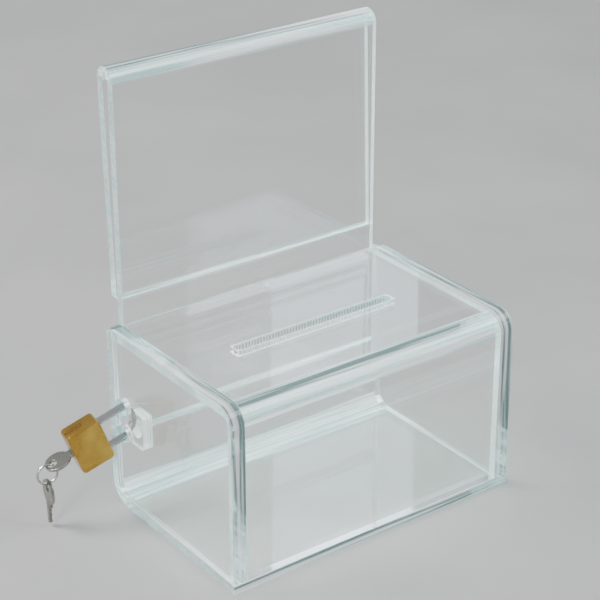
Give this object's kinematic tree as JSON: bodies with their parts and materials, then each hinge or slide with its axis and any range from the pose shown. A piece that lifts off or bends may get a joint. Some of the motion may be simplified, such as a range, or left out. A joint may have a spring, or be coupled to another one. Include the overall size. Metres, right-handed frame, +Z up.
{
  "type": "donation box",
  "caption": "Clear acrylic countertop donation box with a coin and note slot, a folded sign holder above its back wall, and a small padlock with keys.",
  "frame": {"origin": "centre of the base tray's underside, which stands on the table", "axes": "+X to the right seen from the front, +Y to the rear, +Z up"},
  "size_m": [0.2258, 0.1224, 0.239],
  "materials": {
    "clear_acrylic": "clear, polished faces with pale green edges",
    "lock_brass": "lightly brushed",
    "plated_shackle": "plated",
    "key_steel": "nickel plated, worn",
    "spring_steel": "drawn wire"
  },
  "bodies": {
    "tray": {"base_tray": "clear_acrylic", "tray_ear": "clear_acrylic"},
    "cover": {"side_panel_left": "clear_acrylic", "side_panel_right": "clear_acrylic", "front_top_panel": "clear_acrylic", "rear_sign_panel": "clear_acrylic"},
    "shackle_part": {"shackle": "plated_shackle"},
    "lock_case": {"padlock_body": "lock_brass", "pin_cover": "lock_brass", "driver_pin_1": "lock_brass", "driver_pin_2": "lock_brass", "driver_pin_3": "lock_brass", "shackle_spring": "spring_steel", "latch_spring": "spring_steel", "pin_spring_1": "spring_steel", "pin_spring_2": "spring_steel", "pin_spring_3": "spring_steel"},
    "plug": {"cylinder_plug": "lock_brass", "key_pin_1": "lock_brass", "key_pin_2": "lock_brass", "key_pin_3": "lock_brass"},
    "latch_part": {"latch": "spring_steel"},
    "key": {"key_in_lock": "key_steel"},
    "ring": {"key_ring": "spring_steel"},
    "spare": {"spare_key": "key_steel"}
  },
  "joints": [
    {"name": "shell_lift", "type": "slide", "parent": "tray", "child": "cover", "axis": [0, 0, 1], "range_m": [0, 0.12]},
    {"name": "padlock_swing", "type": "hinge", "parent": "cover", "child": "shackle_part", "pos_m": [-0.0861, 0.045, 0.0516], "axis": [0.1392, 0.9903, 0], "range_deg": [0, 6]},
    {"name": "body_release", "type": "slide", "parent": "shackle_part", "child": "lock_case", "axis": [-0.9305, 0.1308, -0.342], "range_m": [0, 0.007]},
    {"name": "key_turn", "type": "hinge", "parent": "lock_case", "child": "plug", "pos_m": [-0.0861, 0.045, 0.0516], "axis": [0.9305, -0.1308, 0.342], "range_deg": [-90, 0]},
    {"name": "latch_slide", "type": "slide", "parent": "lock_case", "child": "latch_part", "axis": [-0.3387, 0.0476, 0.9397], "range_m": [0, 0.0015]},
    {"name": "key_withdraw", "type": "slide", "parent": "plug", "child": "key", "axis": [-0.9305, 0.1308, -0.342], "range_m": [0, 0.014]},
    {"name": "ring_swing", "type": "hinge", "parent": "key", "child": "ring", "pos_m": [-0.13067, 0.05126, 0.03522], "axis": [0.1392, 0.9903, 0], "range_deg": [-8, 8]},
    {"name": "spare_key_swing", "type": "hinge", "parent": "ring", "child": "spare", "pos_m": [-0.13067, 0.05126, 0.02602], "axis": [0.9903, -0.1392, 0], "range_deg": [-12, 12]}
  ],
  "couplings": [
    {"joint": "key_turn", "follows": "latch_slide", "rad_per_m": -1047.2}
  ]
}
